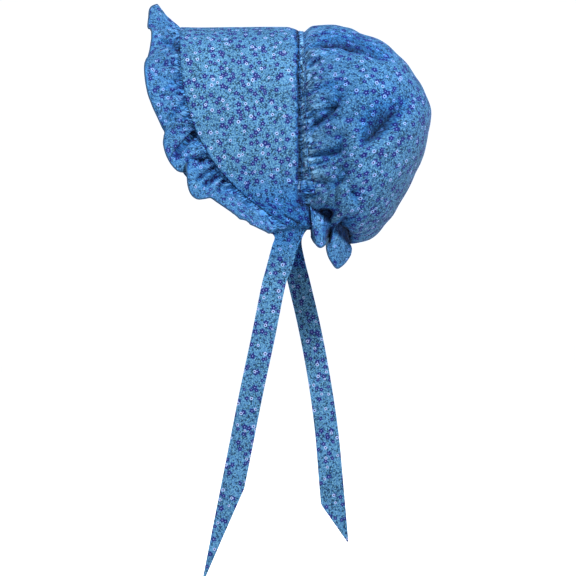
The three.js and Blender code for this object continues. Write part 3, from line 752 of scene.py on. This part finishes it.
def crown_base(across, back):
    """The crown without gathers and folds. back runs from the seam to the neckline."""
    table = read_table(CROWN_SECTIONS)
    place = back * (len(table["fan"]) - 1)
    fan = np.radians(through_rows(table["fan"], place))
    reach = through_rows(table["reach"], place)
    half = through_rows(table["half_width"], place)
    round_height = np.minimum(half, 0.6 * reach)
    leg_length = reach - round_height - CORNER_RADIUS
    x, fall, turn, leg = half_arch(np.abs(across), half, round_height, leg_length)
    x = x - (half - (SEAM_HALF_WIDTH - LEG_DRAW_IN)) * (leg / leg_length) ** 2
    from_corner = reach - fall
    drop = CORNER_DEPTH - from_corner * np.sin(fan)
    ease = 1 - smooth(back, 0, SEAM_EASE)
    to_seam = np.minimum(seam_back(drop) - CORNER_BACK * drop / CORNER_DEPTH, 0)
    y = CORNER_BACK + SEAM_GAP + from_corner * np.cos(fan) + ease * to_seam
    return together(np.sign(across) * x, y, TOP - drop)


def crown_outward(across, back):
    """The directions out of the crown."""
    step = 1e-3
    side, near = np.clip(across, -1, 1 - step), np.clip(back, 0, 1 - step)
    origin = crown_base(side, near)
    along, down = crown_base(side + step, near) - origin, crown_base(side, near + step) - origin
    return unit(np.cross(along, down))


# The folds, as seen from the side: y back and z up of the points of each crease, how deep it is
# there, and how far its slopes run above and below. A negative depth is a ridge.
CROWN_FOLDS = {
    1: [
        [(6, -14, 4, 7, 3), (28, -12, 8, 9, 3), (52, -11, 9, 11, 3), (76, -19, 8, 13, 4),
         (97, -26, 6, 13, 5), (124, -30, 0, 8, 5)],
        [(9, -46, 1, 4, 4), (20, -37, 5, 6, 4), (30, -29, 0, 5, 4)],
        [(14, -114, 5, 6, 3), (30, -103, 9, 7, 4), (42, -92, 14, 9, 5), (49, -81, 9, 9, 6),
         (46, -66, 4, 10, 8), (37, -55, 0, 8, 7)],
        [(74, -135, 2, 8, 4), (84, -128, 16, 14, 4), (98, -119, 24, 20, 5),
         (110, -110, 20, 24, 7), (124, -93, 11, 22, 9), (140, -70, 2, 16, 12)],
        [(58, -106, 1, 10, 9), (53, -124, 5, 12, 9), (48, -142, 10, 10, 6), (36, -147, 9, 8, 4),
         (14, -149, 5, 5, 3)],
        [(12, -158, 2, 5, 4), (24, -157, 5, 5, 4), (38, -155, 0, 5, 4)],
        [(64, -158, 1, 9, 5), (49, -177, 10, 10, 5), (36, -189, 3, 7, 4)],
        [(60, -184, 2, 8, 5), (68, -194, 9, 10, 6), (73, -205, 3, 8, 6)],
        [(23, -211, 6, 7, 6), (32, -220, 11, 8, 6), (37, -230, 5, 6, 5)],
        [(48, -236, 5, 6, 6), (58, -243, 11, 8, 7), (66, -250, 7, 6, 5)],
        [(36, -229, -2, 5, 5), (46, -220, -4, 5, 6), (60, -214, -1, 5, 6)],
        [(46, -237, 2, 6, 4), (56, -228, 9, 9, 4), (74, -221, 2, 8, 4)],
        [(47, -186, -1, 5, 5), (56, -187, -3, 6, 5), (66, -184, -1, 5, 5)],
        [(88, -141, -2, 8, 10), (104, -130, -5, 8, 12), (124, -110, -4, 9, 12),
         (138, -92, 0, 9, 10)],
    ],
    -1: [
        [(8, -34, 4, 7, 4), (30, -37, 8, 11, 5), (56, -34, 10, 13, 5), (88, -40, 6, 12, 5),
         (108, -46, 0, 8, 5)],
        [(14, -96, 2, 7, 4), (36, -84, 11, 10, 5), (60, -70, 13, 12, 6), (80, -62, 0, 8, 6)],
        [(74, -100, 2, 9, 5), (96, -94, 14, 16, 6), (122, -86, 15, 18, 8), (144, -78, 1, 12, 8)],
        [(48, -156, 2, 8, 5), (72, -151, 17, 17, 6), (104, -142, 18, 19, 7), (128, -134, 1, 12, 8)],
        [(14, -146, 2, 6, 4), (34, -140, 9, 9, 5), (52, -130, 1, 7, 5)],
        [(34, -206, 2, 7, 5), (52, -194, 11, 9, 5), (74, -178, 1, 7, 5)],
    ],
}
FOLD_FREE_MIDDLE = 45
PINCH = 4
PINCH_WIDTH = 1.8


def fold_depth(points):
    """How deep the folds press the crown in at points of its base."""
    y, z = in_picture(points)
    total = np.zeros(points.shape[:-1])
    for side, folds in CROWN_FOLDS.items():
        here = points[..., 0] * side > 0
        for fold in folds:
            best = np.full(total.shape, np.inf)
            press = np.zeros(total.shape)
            for (y1, z1, *first), (y2, z2, *last) in zip(fold, fold[1:]):
                share, away = beside(y, z, y1, z1, y2, z2)
                aside = (y2 - y1) * (z - z1) - (z2 - z1) * (y - y1)
                depth, above, below = (mix(a, b, share) for a, b in zip(first, last))
                slope = np.where(aside * np.sign(y2 - y1) > 0, above, below)
                shape = np.where(depth > 0, np.exp(-away / slope), np.exp(-((away / slope) ** 2)))
                pinch = PINCH * smooth(depth, 6, 15) * np.exp(-away / PINCH_WIDTH)
                press = np.where(away < best, depth * shape + pinch, press)
                best = np.minimum(best, away)
            total += np.where(here, press, 0)
    return total * smooth(np.abs(points[..., 0]), 0, FOLD_FREE_MIDDLE)


# The gathers: how high each kind is, how far past the casing it fades, how wide and how long its
# gathers are, and the seed of their places.
GATHERS = [(2.6, 9, 4.8, 22, 21), (4.8, 25, 10.5, 46, 32), (3.4, 60, 23, 110, 33)]


def gathers_at(across, from_seam):
    """The gathers' heights, and the valleys of the narrow ones from 0 to 1."""
    past = np.maximum(from_seam - CASING_ZONE, 0)
    heights, valleys = 0, 0
    for height, fade, wide, long, seed in GATHERS:
        strength = np.exp(-past / fade) * (1 - smooth(past, 60, 90))
        place = (across * SEAM_LENGTH + 0.35 * past) / wide, from_seam / long, seed
        heights = heights + height * strength * pleats(*place)
        if wide < 12:
            valleys = valleys + strength * creases(*place)
    return heights, np.minimum(valleys, 1)


def crown_at(across, back):
    """Points of the finished crown, with its gathers, folds and slack cloth."""
    base = crown_base(across, back)
    y, z = base[..., 1], base[..., 2]
    from_seam = np.linalg.norm(base - crown_base(across, 0 * back), axis=-1)
    from_neck = np.linalg.norm(base - crown_base(across, 0 * back + 1), axis=-1)
    from_top, neck_place = np.abs(across) * SEAM_LENGTH, across * NECK_LENGTH
    past_casing = from_seam - CASING_ZONE
    start = smooth(past_casing, -1, 5 + 16 * (1 - smooth(from_top, 20, 80)))
    gathers = gathers_at(across, from_seam)[0] * mix(0.3, 1, smooth(from_top, 10, 60))
    crumpled = 1.2 * np.exp(-np.maximum(past_casing, 0) / 16)
    gathers = gathers + crumpled * random_heights(y / 6, z / 6, 28)
    drawn = 2.2 * np.exp(-from_neck / 16) * pleats(neck_place / 6, from_neck / 60, 24)
    drawn = drawn + 2.2 * (1 - smooth(from_neck, 8, 50)) * pleats(neck_place / 13, from_neck / 120, 25)
    slack = 1.6 * random_heights(y / 26 + 7, z / 30, 26) * smooth(past_casing, 0, 30)
    slack = slack + 0.7 * random_heights(y / 11, z / 13, 27) * smooth(past_casing, 0, 20)
    pressed = smooth(past_casing, -1, 5) * fold_depth(base)
    near_corner = smooth(from_seam + from_neck, 20, 62)
    shape = near_corner * (start * (gathers + drawn + slack) - pressed)
    return base + crown_outward(across, back) * (shape - seam_dip(from_seam, TOP - z))[..., None]


def back_at(across, distance):
    """The share of the way from the seam to the neckline at a short distance behind the seam."""
    step = 1e-3
    reach = np.linalg.norm(crown_base(across, step) - crown_base(across, 0.0), axis=-1)
    return distance * step / reach


# Where the neck ruffle's hem is, in the same way. at is how far round the neck, 0 at the back.
NECK_HEM = """
at   x  y    z
0    0  45.5 -274.5
0.08 11 49.5 -274.5
0.16 24 56.5 -271
0.24 36 63.5 -265.5
0.31 44 57.5 -275.5
0.39 53 48.5 -282
0.46 59 41.5 -274.5
0.53 62 37.2 -265.5
0.60 60 36.4 -255.5
0.66 50 38   -249
0.72 42 39   -244
0.78 56 37.5 -247
0.84 72 33.5 -254
0.90 80 27.8 -257
0.95 80 23   -253.5
1    74 19.4 -246
"""

# Short creases, listed like the brim's: pockets with painted shade and ridges with a painted highlight
# where the neck ruffle's folds meet the crown, and thin creases beside the casing, with painted shade.
NECK_POCKETS = [
    (31, -214, 42, -216, 2, 1.5, 4.2), (38, -217, 36, -224, 1.5, 1.2, 3),
    (33, -230, 37, -250, 1.5, 0.9, 4), (54, -238, 64, -251, 2, 1.3, 5),
    (40, -230, 53, -217, -1.5, -0.4, 3.5), (47, -246, 62, -254, -1, -0.4, 3),
    (26, -212, 28, -232, -1, -0.3, 3.5), (7, -194, 8, -209, 0.4, 1, 4.5),
    (13, -41, 27, -31.5, 1.2, 1.1, 1.6), (14, -159, 38, -153, 1, 1, 1.5),
    (16, -197, 26, -192.5, 1, 1, 1.8), (17, -188, 25, -180, 0.8, 0.8, 2),
    (14, -133, 24, -131, 0.8, 0.9, 1.4), (14, -139, 28, -136, 0.8, 0.9, 1.4),
    (14, -98, 22, -92, 0.8, 0.8, 1.6),
]


def neck_ruffle_at(across, down):
    """Points of the neck ruffle. across runs round the neck, down from the neckline to the hem."""
    table = read_table(NECK_HEM)
    table["x"], table["y"], table["z"] = as_seen(table).T
    neck_line = crown_base(across, 1 + 0 * down)
    start = mix(crown_at(across, 1 + 0 * down), neck_line, down[..., None])
    x, y, z = (along_table(table, name, np.abs(across)) for name in "xyz")
    hem = together(np.sign(across) * x, y, z)
    hem = mix(start, hem, mix(1, 0.84, smooth(-across, 0, 0.3))[..., None])
    aside = neck_line - np.array([0, CORNER_BACK, 0])
    aside[..., 2] = 0
    place = across * NECK_LENGTH
    fine = 1.5 * smooth(down, 0, 0.15) * np.exp(-down * 3) * pleats(place / 5, down, 24)
    soft = 0.7 * smooth(down, 0.2, 1) * random_heights(place / 13, down * 1.3, 29)
    bow = 4 * 3.5 * down * (1 - down)
    return mix(start, hem, down[..., None]) + unit(aside) * (fine + soft + bow)[..., None]


COLUMNS, CASING_ROWS, BAG_ROWS, NECK_ROWS = 441, 4, 106, 26
NECK_STITCH_ROW = -3
across = np.linspace(1, -1, COLUMNS)[None, :]
edge_share = np.minimum(back_at(across[0], CASING_ZONE), 0.24)[None, :]
first = np.linspace(0, 1, CASING_ROWS + 1)[:-1, None] * edge_share
rest = np.linspace(0, 1, BAG_ROWS)[:, None] ** 1.25
places = np.broadcast_arrays(across, np.concatenate([first, mix(edge_share, 1, rest)]))
base, bag, outward = crown_base(*places), crown_at(*places), crown_outward(*places)
main_folds = fold_depth(base)
height = ((bag - base) * outward).sum(-1)
from_top = np.abs(across[0]) * SEAM_LENGTH
tuck_in = TUCK_IN * (1 - smooth(from_top, 210, 250))
tuck_forward = TUCK_FORWARD + 5.5 * smooth(from_top, 232, 252)
bag[0] -= tuck_in[:, None] * outward[0] + tuck_forward[:, None] * np.array([0, 1, 0])
down = np.concatenate([np.linspace(0, 0.92, NECK_ROWS)[1:], [0.95, 0.97, 1]])[:, None]
crown_points = np.concatenate([bag, neck_ruffle_at(*np.broadcast_arrays(across, down))])
pressed = short_creases(crown_points, NECK_POCKETS)[0][..., None]
crown_points[1:-1] -= (facing(crown_points) * pressed)[1:-1]
at_neck = len(bag) - 1
bag, neck_part = crown_points[: at_neck + 1], crown_points[at_neck:]


def lay_flat(points, rounds=30):
    """Lays a curved grid flat, with each of its triangles kept as near to its own shape as can be.
    Flat places are complex numbers. The last row comes out level, to the right."""
    k = np.arange(points[..., 0].size).reshape(points.shape[:2])
    thirds = [(k[:-1, :-1], k[1:, :-1], k[1:, 1:]), (k[:-1, :-1], k[1:, 1:], k[:-1, 1:])]
    corners = np.concatenate([np.stack(third, axis=-1).reshape(-1, 3) for third in thirds])
    a, b, c = np.moveaxis(points.reshape(-1, 3)[corners], 1, 0)
    base = np.linalg.norm(b - a, axis=-1)
    along = ((c - a) * (b - a)).sum(-1) / base
    high = np.linalg.norm(np.cross(b - a, c - a), axis=-1) / base
    own = np.stack([0 * base, base, along + 1j * high], axis=-1)
    facing_edge = own[:, [2, 0, 1]] - own[:, [1, 2, 0]]
    double_area = base * high

    triangle = np.arange(len(corners))
    bends = np.zeros((len(corners), k.size), complex)
    for i in range(3):
        bends[triangle, corners[:, i]] = facing_edge[:, i] / np.sqrt(double_area)
    pins = [k[-1, 0], k[-1, -1]]
    free = np.setdiff1d(np.arange(k.size), pins)
    flat = np.zeros(k.size, complex)
    flat[pins] = [-100, 100]
    pull = bends[:, free].conj().T
    flat[free] = np.linalg.solve(pull @ bends[:, free], -pull @ (bends[:, pins] @ flat[pins]))
    flat *= np.sqrt(double_area.sum() / abs((flat[corners] * facing_edge.conj()).sum()))

    stiffness = np.zeros((k.size, k.size))
    sides = []
    for opposite in range(3):
        i, j = (opposite + 1) % 3, (opposite + 2) % 3
        to_i, to_j = own[:, i] - own[:, opposite], own[:, j] - own[:, opposite]
        grip = (to_i * to_j.conj()).real / double_area
        sides.append((corners[:, i], corners[:, j], grip, own[:, i] - own[:, j]))
        for one, other in ((i, j), (j, i)):
            np.add.at(stiffness, (corners[:, one], corners[:, one]), grip)
            np.add.at(stiffness, (corners[:, one], corners[:, other]), -grip)
    stiffness[0, 0] += 1
    loosen = np.linalg.inv(stiffness)
    for _ in range(rounds):
        turned = 0
        for start, end, grip, edge in sides:
            turned = turned + grip * (flat[start] - flat[end]) * edge.conj()
        turned = turned / np.abs(turned)
        target = np.zeros(k.size, complex)
        for start, end, grip, edge in sides:
            np.add.at(target, start, grip * turned * edge)
            np.add.at(target, end, -grip * turned * edge)
        flat = loosen @ target
    flat = flat.reshape(k.shape)
    flat *= np.exp(-1j * np.angle(flat[-1, -1] - flat[-1, 0]))
    return np.stack([flat.real, flat.imag], axis=-1)


# Only the main folds count for the cloth's length. The gathers are too fine to stretch the print.
FIRST_COLUMN, COLUMN_STEP, ROW_STEP = 6, 13, 5
few_columns = np.arange(FIRST_COLUMN, COLUMNS, COLUMN_STEP)
few_rows = np.unique(np.append(np.arange(0, len(crown_points), ROW_STEP), len(crown_points) - 1))
folded = base - outward * main_folds[..., None]
coarse = np.concatenate([folded, neck_part[1:]])[few_rows][:, few_columns]
coarse_flat = lay_flat(coarse)
rows_at = np.interp(np.arange(len(crown_points)), few_rows, np.arange(len(few_rows)))
columns_at = (np.arange(COLUMNS) - FIRST_COLUMN) / COLUMN_STEP
i = np.minimum(rows_at.astype(int), len(few_rows) - 2)
j = np.clip(columns_at.astype(int), 0, len(few_columns) - 2)
ti, tj = (rows_at - i)[:, None, None], (columns_at - j)[None, :, None]
between = lambda rows: mix(coarse_flat[rows][:, j], coarse_flat[rows][:, j + 1], tj)
crown_cut = mix(between(i), between(i + 1), ti) + np.array([0, CROWN_CUT_AT])
from_seam, bag_z = lengths_along(bag, 0), bag[..., 2]
# Painted shade on the crown: a little all over, more on its upper part where the light from above falls
# most, and in the folds' valleys, less just behind the seam; more in the narrow gathers' valleys, along
# the main folds near the top and the neckline, and in the short creases, with painted highlights on the
# short ridges.
to_light = 1 - smooth(-bag_z, 90, 165)
shade_to_paint = 0.28 + 0.2 * to_light + 1.25 * smooth(-height, 0, 12) - 0.36 * (1 - smooth(from_seam, 16, 40))
shade_to_paint = shade_to_paint + 0.55 * gathers_at(across, from_seam)[1] * smooth(from_seam, 6, 12)
ends = smooth(-bag_z, 195, 215) + smooth(bag_z, -60, -30)
shade_to_paint = shade_to_paint + 0.08 * np.maximum(main_folds, 0) * ends + short_creases(bag, NECK_POCKETS)[1]
gathered = (across * SEAM_LENGTH, np.maximum(from_seam - CASING_ZONE, 0))
# The crown's calico is a darker, duller copy of the brim's: painted shade, since the crown takes more of
# the light.
crown_cotton_painted_darker = printed_cotton("crown_cotton_painted_darker", ground=(32, 59, 84))
crown = sew_cloth("crown_cloth", bag, CLOTH_HALF_THICKNESS, crown_cut[: at_neck + 1], shade_to_paint,
                  gathered, crown_cotton_painted_darker, cotton_back)
hem_down = lengths_along(neck_part, 0)[1:]
to_hem = hem_down[-1:] - hem_down
to_hem = np.concatenate([to_hem[:1], to_hem])
inside = crown_base(across, 1 + 0 * down)[..., 0] - neck_part[1:, :, 0]
inside = smooth(np.concatenate([inside[:1], inside]) * np.sign(across), -6, 14)
from_line = to_hem[:1] - to_hem
drawn_in = creases(across * NECK_LENGTH / 6, from_line / 60, 24) * np.exp(-from_line / 12)
# Painted shade on the neck ruffle: from the crown's at the neckline to one that is deeper on the
# ruffle's inner side, more next to the neckline and in its drawn-in creases, in the short creases and
# pockets, with painted highlights on the short ridges, and in a band along the hem.
shade_to_paint = mix(shade_to_paint[-1:], 0.5 + 1.1 * inside, smooth(from_line, 0, 6))
shade_to_paint = shade_to_paint + 0.6 * np.exp(-from_line / 9) + 0.9 * drawn_in
shade_to_paint = shade_to_paint + short_creases(neck_part, NECK_POCKETS)[1] + 0.8 * np.exp(-to_hem / 1.3)
gathered = (across * NECK_LENGTH, from_line + 2)
neck_ruffle = sew_cloth("neck_ruffle_cloth", neck_part, hem_thickness(to_hem), crown_cut[at_neck:],
                        shade_to_paint, gathered, crown_cotton_painted_darker, cotton_back)
for cloth in (crown, neck_ruffle):
    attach(cloth, "root")
    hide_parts("crown")
neck_hem = roll_hem("neck_hem", crown_points[-1], teal_edge)
neck_stitches = sew_stitches("neck_hem_stitches", crown_points[NECK_STITCH_ROW],
                             facing(crown_points)[NECK_STITCH_ROW], STITCH_LIFT, blue_thread)


for cloth, points, cut, more in (
    (crown, bag, crown_cut[: at_neck + 1], []),
    (neck_ruffle, neck_part, crown_cut[at_neck:], [neck_hem, neck_stitches]),
):
    width, length = np.ptp(cut.reshape(-1, 2), axis=0) / 1000

# The casing: a narrow strip sewn over the crown's gathers, just behind the seam. Two rows of
# stitches hold it down, and the gathers pucker it. It ends above the ear.
CASING_WIDTH_TOP = 6
CASING_WIDTH_EAR = 10.5
CASING_END = 12
CASING_STITCHES = {"casing_stitches_front": 0.14, "casing_stitches_back": 0.86}
CASING_LIFT = 1.1
CASING_CUT_AT = 1400

casing_cotton = printed_cotton("casing_cotton", ground=(53, 89, 120))
across = np.linspace(1, -1, 620)[None, :] * (1 - CASING_END / SEAM_LENGTH)
share = np.unique(np.concatenate([np.linspace(0, 1, 15), [0.03, 0.97]]))[:, None]
place = across * SEAM_LENGTH
ragged = 0.7 * (1 + random_heights(place / 3.5, share, 33)) * (1 - share) ** 2
distance = mix(CASING_WIDTH_TOP, CASING_WIDTH_EAR, np.abs(across)) * share
distance = distance + ragged * smooth(np.abs(place), 10, 40)
across, distance, share, place = np.broadcast_arrays(across, distance, share, place)
casing_back = back_at(across, distance)
held = sum(np.exp(-(((share - at) / 0.1) ** 2)) for at in CASING_STITCHES.values())
off_top = mix(0.25, 1, smooth(np.abs(place), 25, 80))
pucker_place = place / 4.5, distance / 9, 31
puckered = pleats(*pucker_place) * off_top
puff = (1 - np.clip(held, 0, 1)) * (1.0 + 1.0 * puckered) + 0.9 * puckered
rise = crown_outward(across, casing_back) * (CASING_LIFT + puff)[..., None]
casing_points = crown_at(across, casing_back) + rise
# Painted shade on the casing, mottled: in the puckers' valleys, near the top, towards its ends above the
# ears, darkest along its front edge and again along its back edge.
spots = random_heights(place / 3, distance / 2.5, 32)
shade_to_paint = 0.55 * off_top * creases(*pucker_place) + 0.3 * spots + 0.7 * (1 - off_top)
shade_to_paint = shade_to_paint + 0.9 * smooth(np.abs(place), 228, 250)
shade_to_paint = shade_to_paint + (1.7 + 0.5 * spots) * np.exp(-((share / 0.2) ** 2))
shade_to_paint = shade_to_paint + 0.8 * np.exp(-(1 - share) / 0.08)
casing_cut = together(place * 1.35, distance * 1.1 + CASING_CUT_AT)
casing = sew_cloth("casing_cloth", casing_points, CLOTH_HALF_THICKNESS, casing_cut, shade_to_paint,
                   (place, distance - 2), casing_cotton, cotton_back)
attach(casing, "root")
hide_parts("crown_casing")
for name, at in CASING_STITCHES.items():
    row = int(np.argmin(np.abs(share[:, 0] - at)))
    sew_stitches(name, casing_points[row], facing(casing_points)[row],
                                    CLOTH_HALF_THICKNESS, blue_thread, stitch=1.9)

# The ties: flat strips of the calico with narrow hems, sewn inside the brim's lower corners, where
# they are wider, and cut on a slant at their free ends.
TIE_LEFT = """
x    y     z    width
66.5 -7    -211 38
64   -6.5  -222 47
61.9 -6.9  -231 47.8
60.3 -10.3 -241 38.4
59.5 -10.3 -247 32.3
59.2 -13.8 -256 30.9
59   -16.8 -266 30.5
59   -21.5 -283 30
59   -28   -304 28
61   -40   -364 28
62   -54   -430 28
59   -69   -506 28
58   -83   -576 28
61   -97   -648 28
"""
TIE_RIGHT = """
x    y   z    width
66.5 -6  -211 32
64.2 -7  -222 40
61.9 -9  -231 42
59.3 -9  -248 30
58.6 -4  -272 28
58.6 3   -300 28
59   16  -356 28
62   28  -420 28
64   37  -484 29
62   43  -552 30
63   49  -619 30
"""
TIE_WIDTH = 28
TIE_ROWS = 200
TIE_COLUMNS = 22
TIE_HEM = (0.3, 0.48, 4.0)
TIE_STITCHES = (("front", 8), ("back", -9))
TIE_STITCH_START = 18
TIE_STITCH_LIFT = 0.45
TIE_CUT_AT = 600
UNGATHERED = 200

for name, side, text, tip_at, taper in (("left", 1, TIE_LEFT, -1, 108), ("right", -1, TIE_RIGHT, 1, 46)):
    table = read_table(text)
    row = np.linspace(0, 1, TIE_ROWS)[:, None]
    place = row * (len(table["x"]) - 1)
    x, y, z, width = (through_rows(table[key], place) for key in ("x", "y", "z", "width"))
    cut = 1 - np.clip((z - z[-1]) / taper, 0, 1)
    front = mix(-width / 2, -width / 2 if tip_at < 0 else width / 2 - 2, cut)
    rear = mix(width / 2, width / 2 if tip_at > 0 else -width / 2 + 2, cut)
    aside = mix(front, rear, fine_ends(TIE_WIDTH, TIE_COLUMNS)[None, :])
    curl = 0.8 * random_heights(z / 40 + 3, aside / 30, 41 + side)
    curl = (curl + 0.35 * random_heights(z / 11, aside / 14, 44)) * smooth(-z, 236, 262)
    edge = np.minimum(aside - front, rear - aside)
    tie_points = together(side * (x + curl), y + aside, z)[:, ::side]
    tie_along = lengths_along(tie_points[:, 5:6], 0)
    tie_cut = together(tie_points[..., 1], tie_along + TIE_CUT_AT + 400 * side)
    # Painted shade at the tops of the ties, under the brim, deeper on the right tie.
    shade_to_paint = 0.85 * smooth(z, -292, -240) if side > 0 else 1.5 * smooth(z, -300, -250)
    tie = sew_cloth(f"tie_{name}_cloth", tie_points, hem_thickness(edge, *TIE_HEM), tie_cut, shade_to_paint,
                    (z, UNGATHERED), cotton_face, cotton_face)
    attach(tie, "root")
    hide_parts("tie_" + name)
    sewn, tie_facing = tie_points[TIE_STITCH_START:], facing(tie_points)[TIE_STITCH_START:]
    tie_rows = [
        sew_stitches(f"tie_{name}_stitches_{edge_name}", sewn[:, column], tie_facing[:, column],
                     TIE_STITCH_LIFT, blue_thread)
        for edge_name, column in TIE_STITCHES
    ]
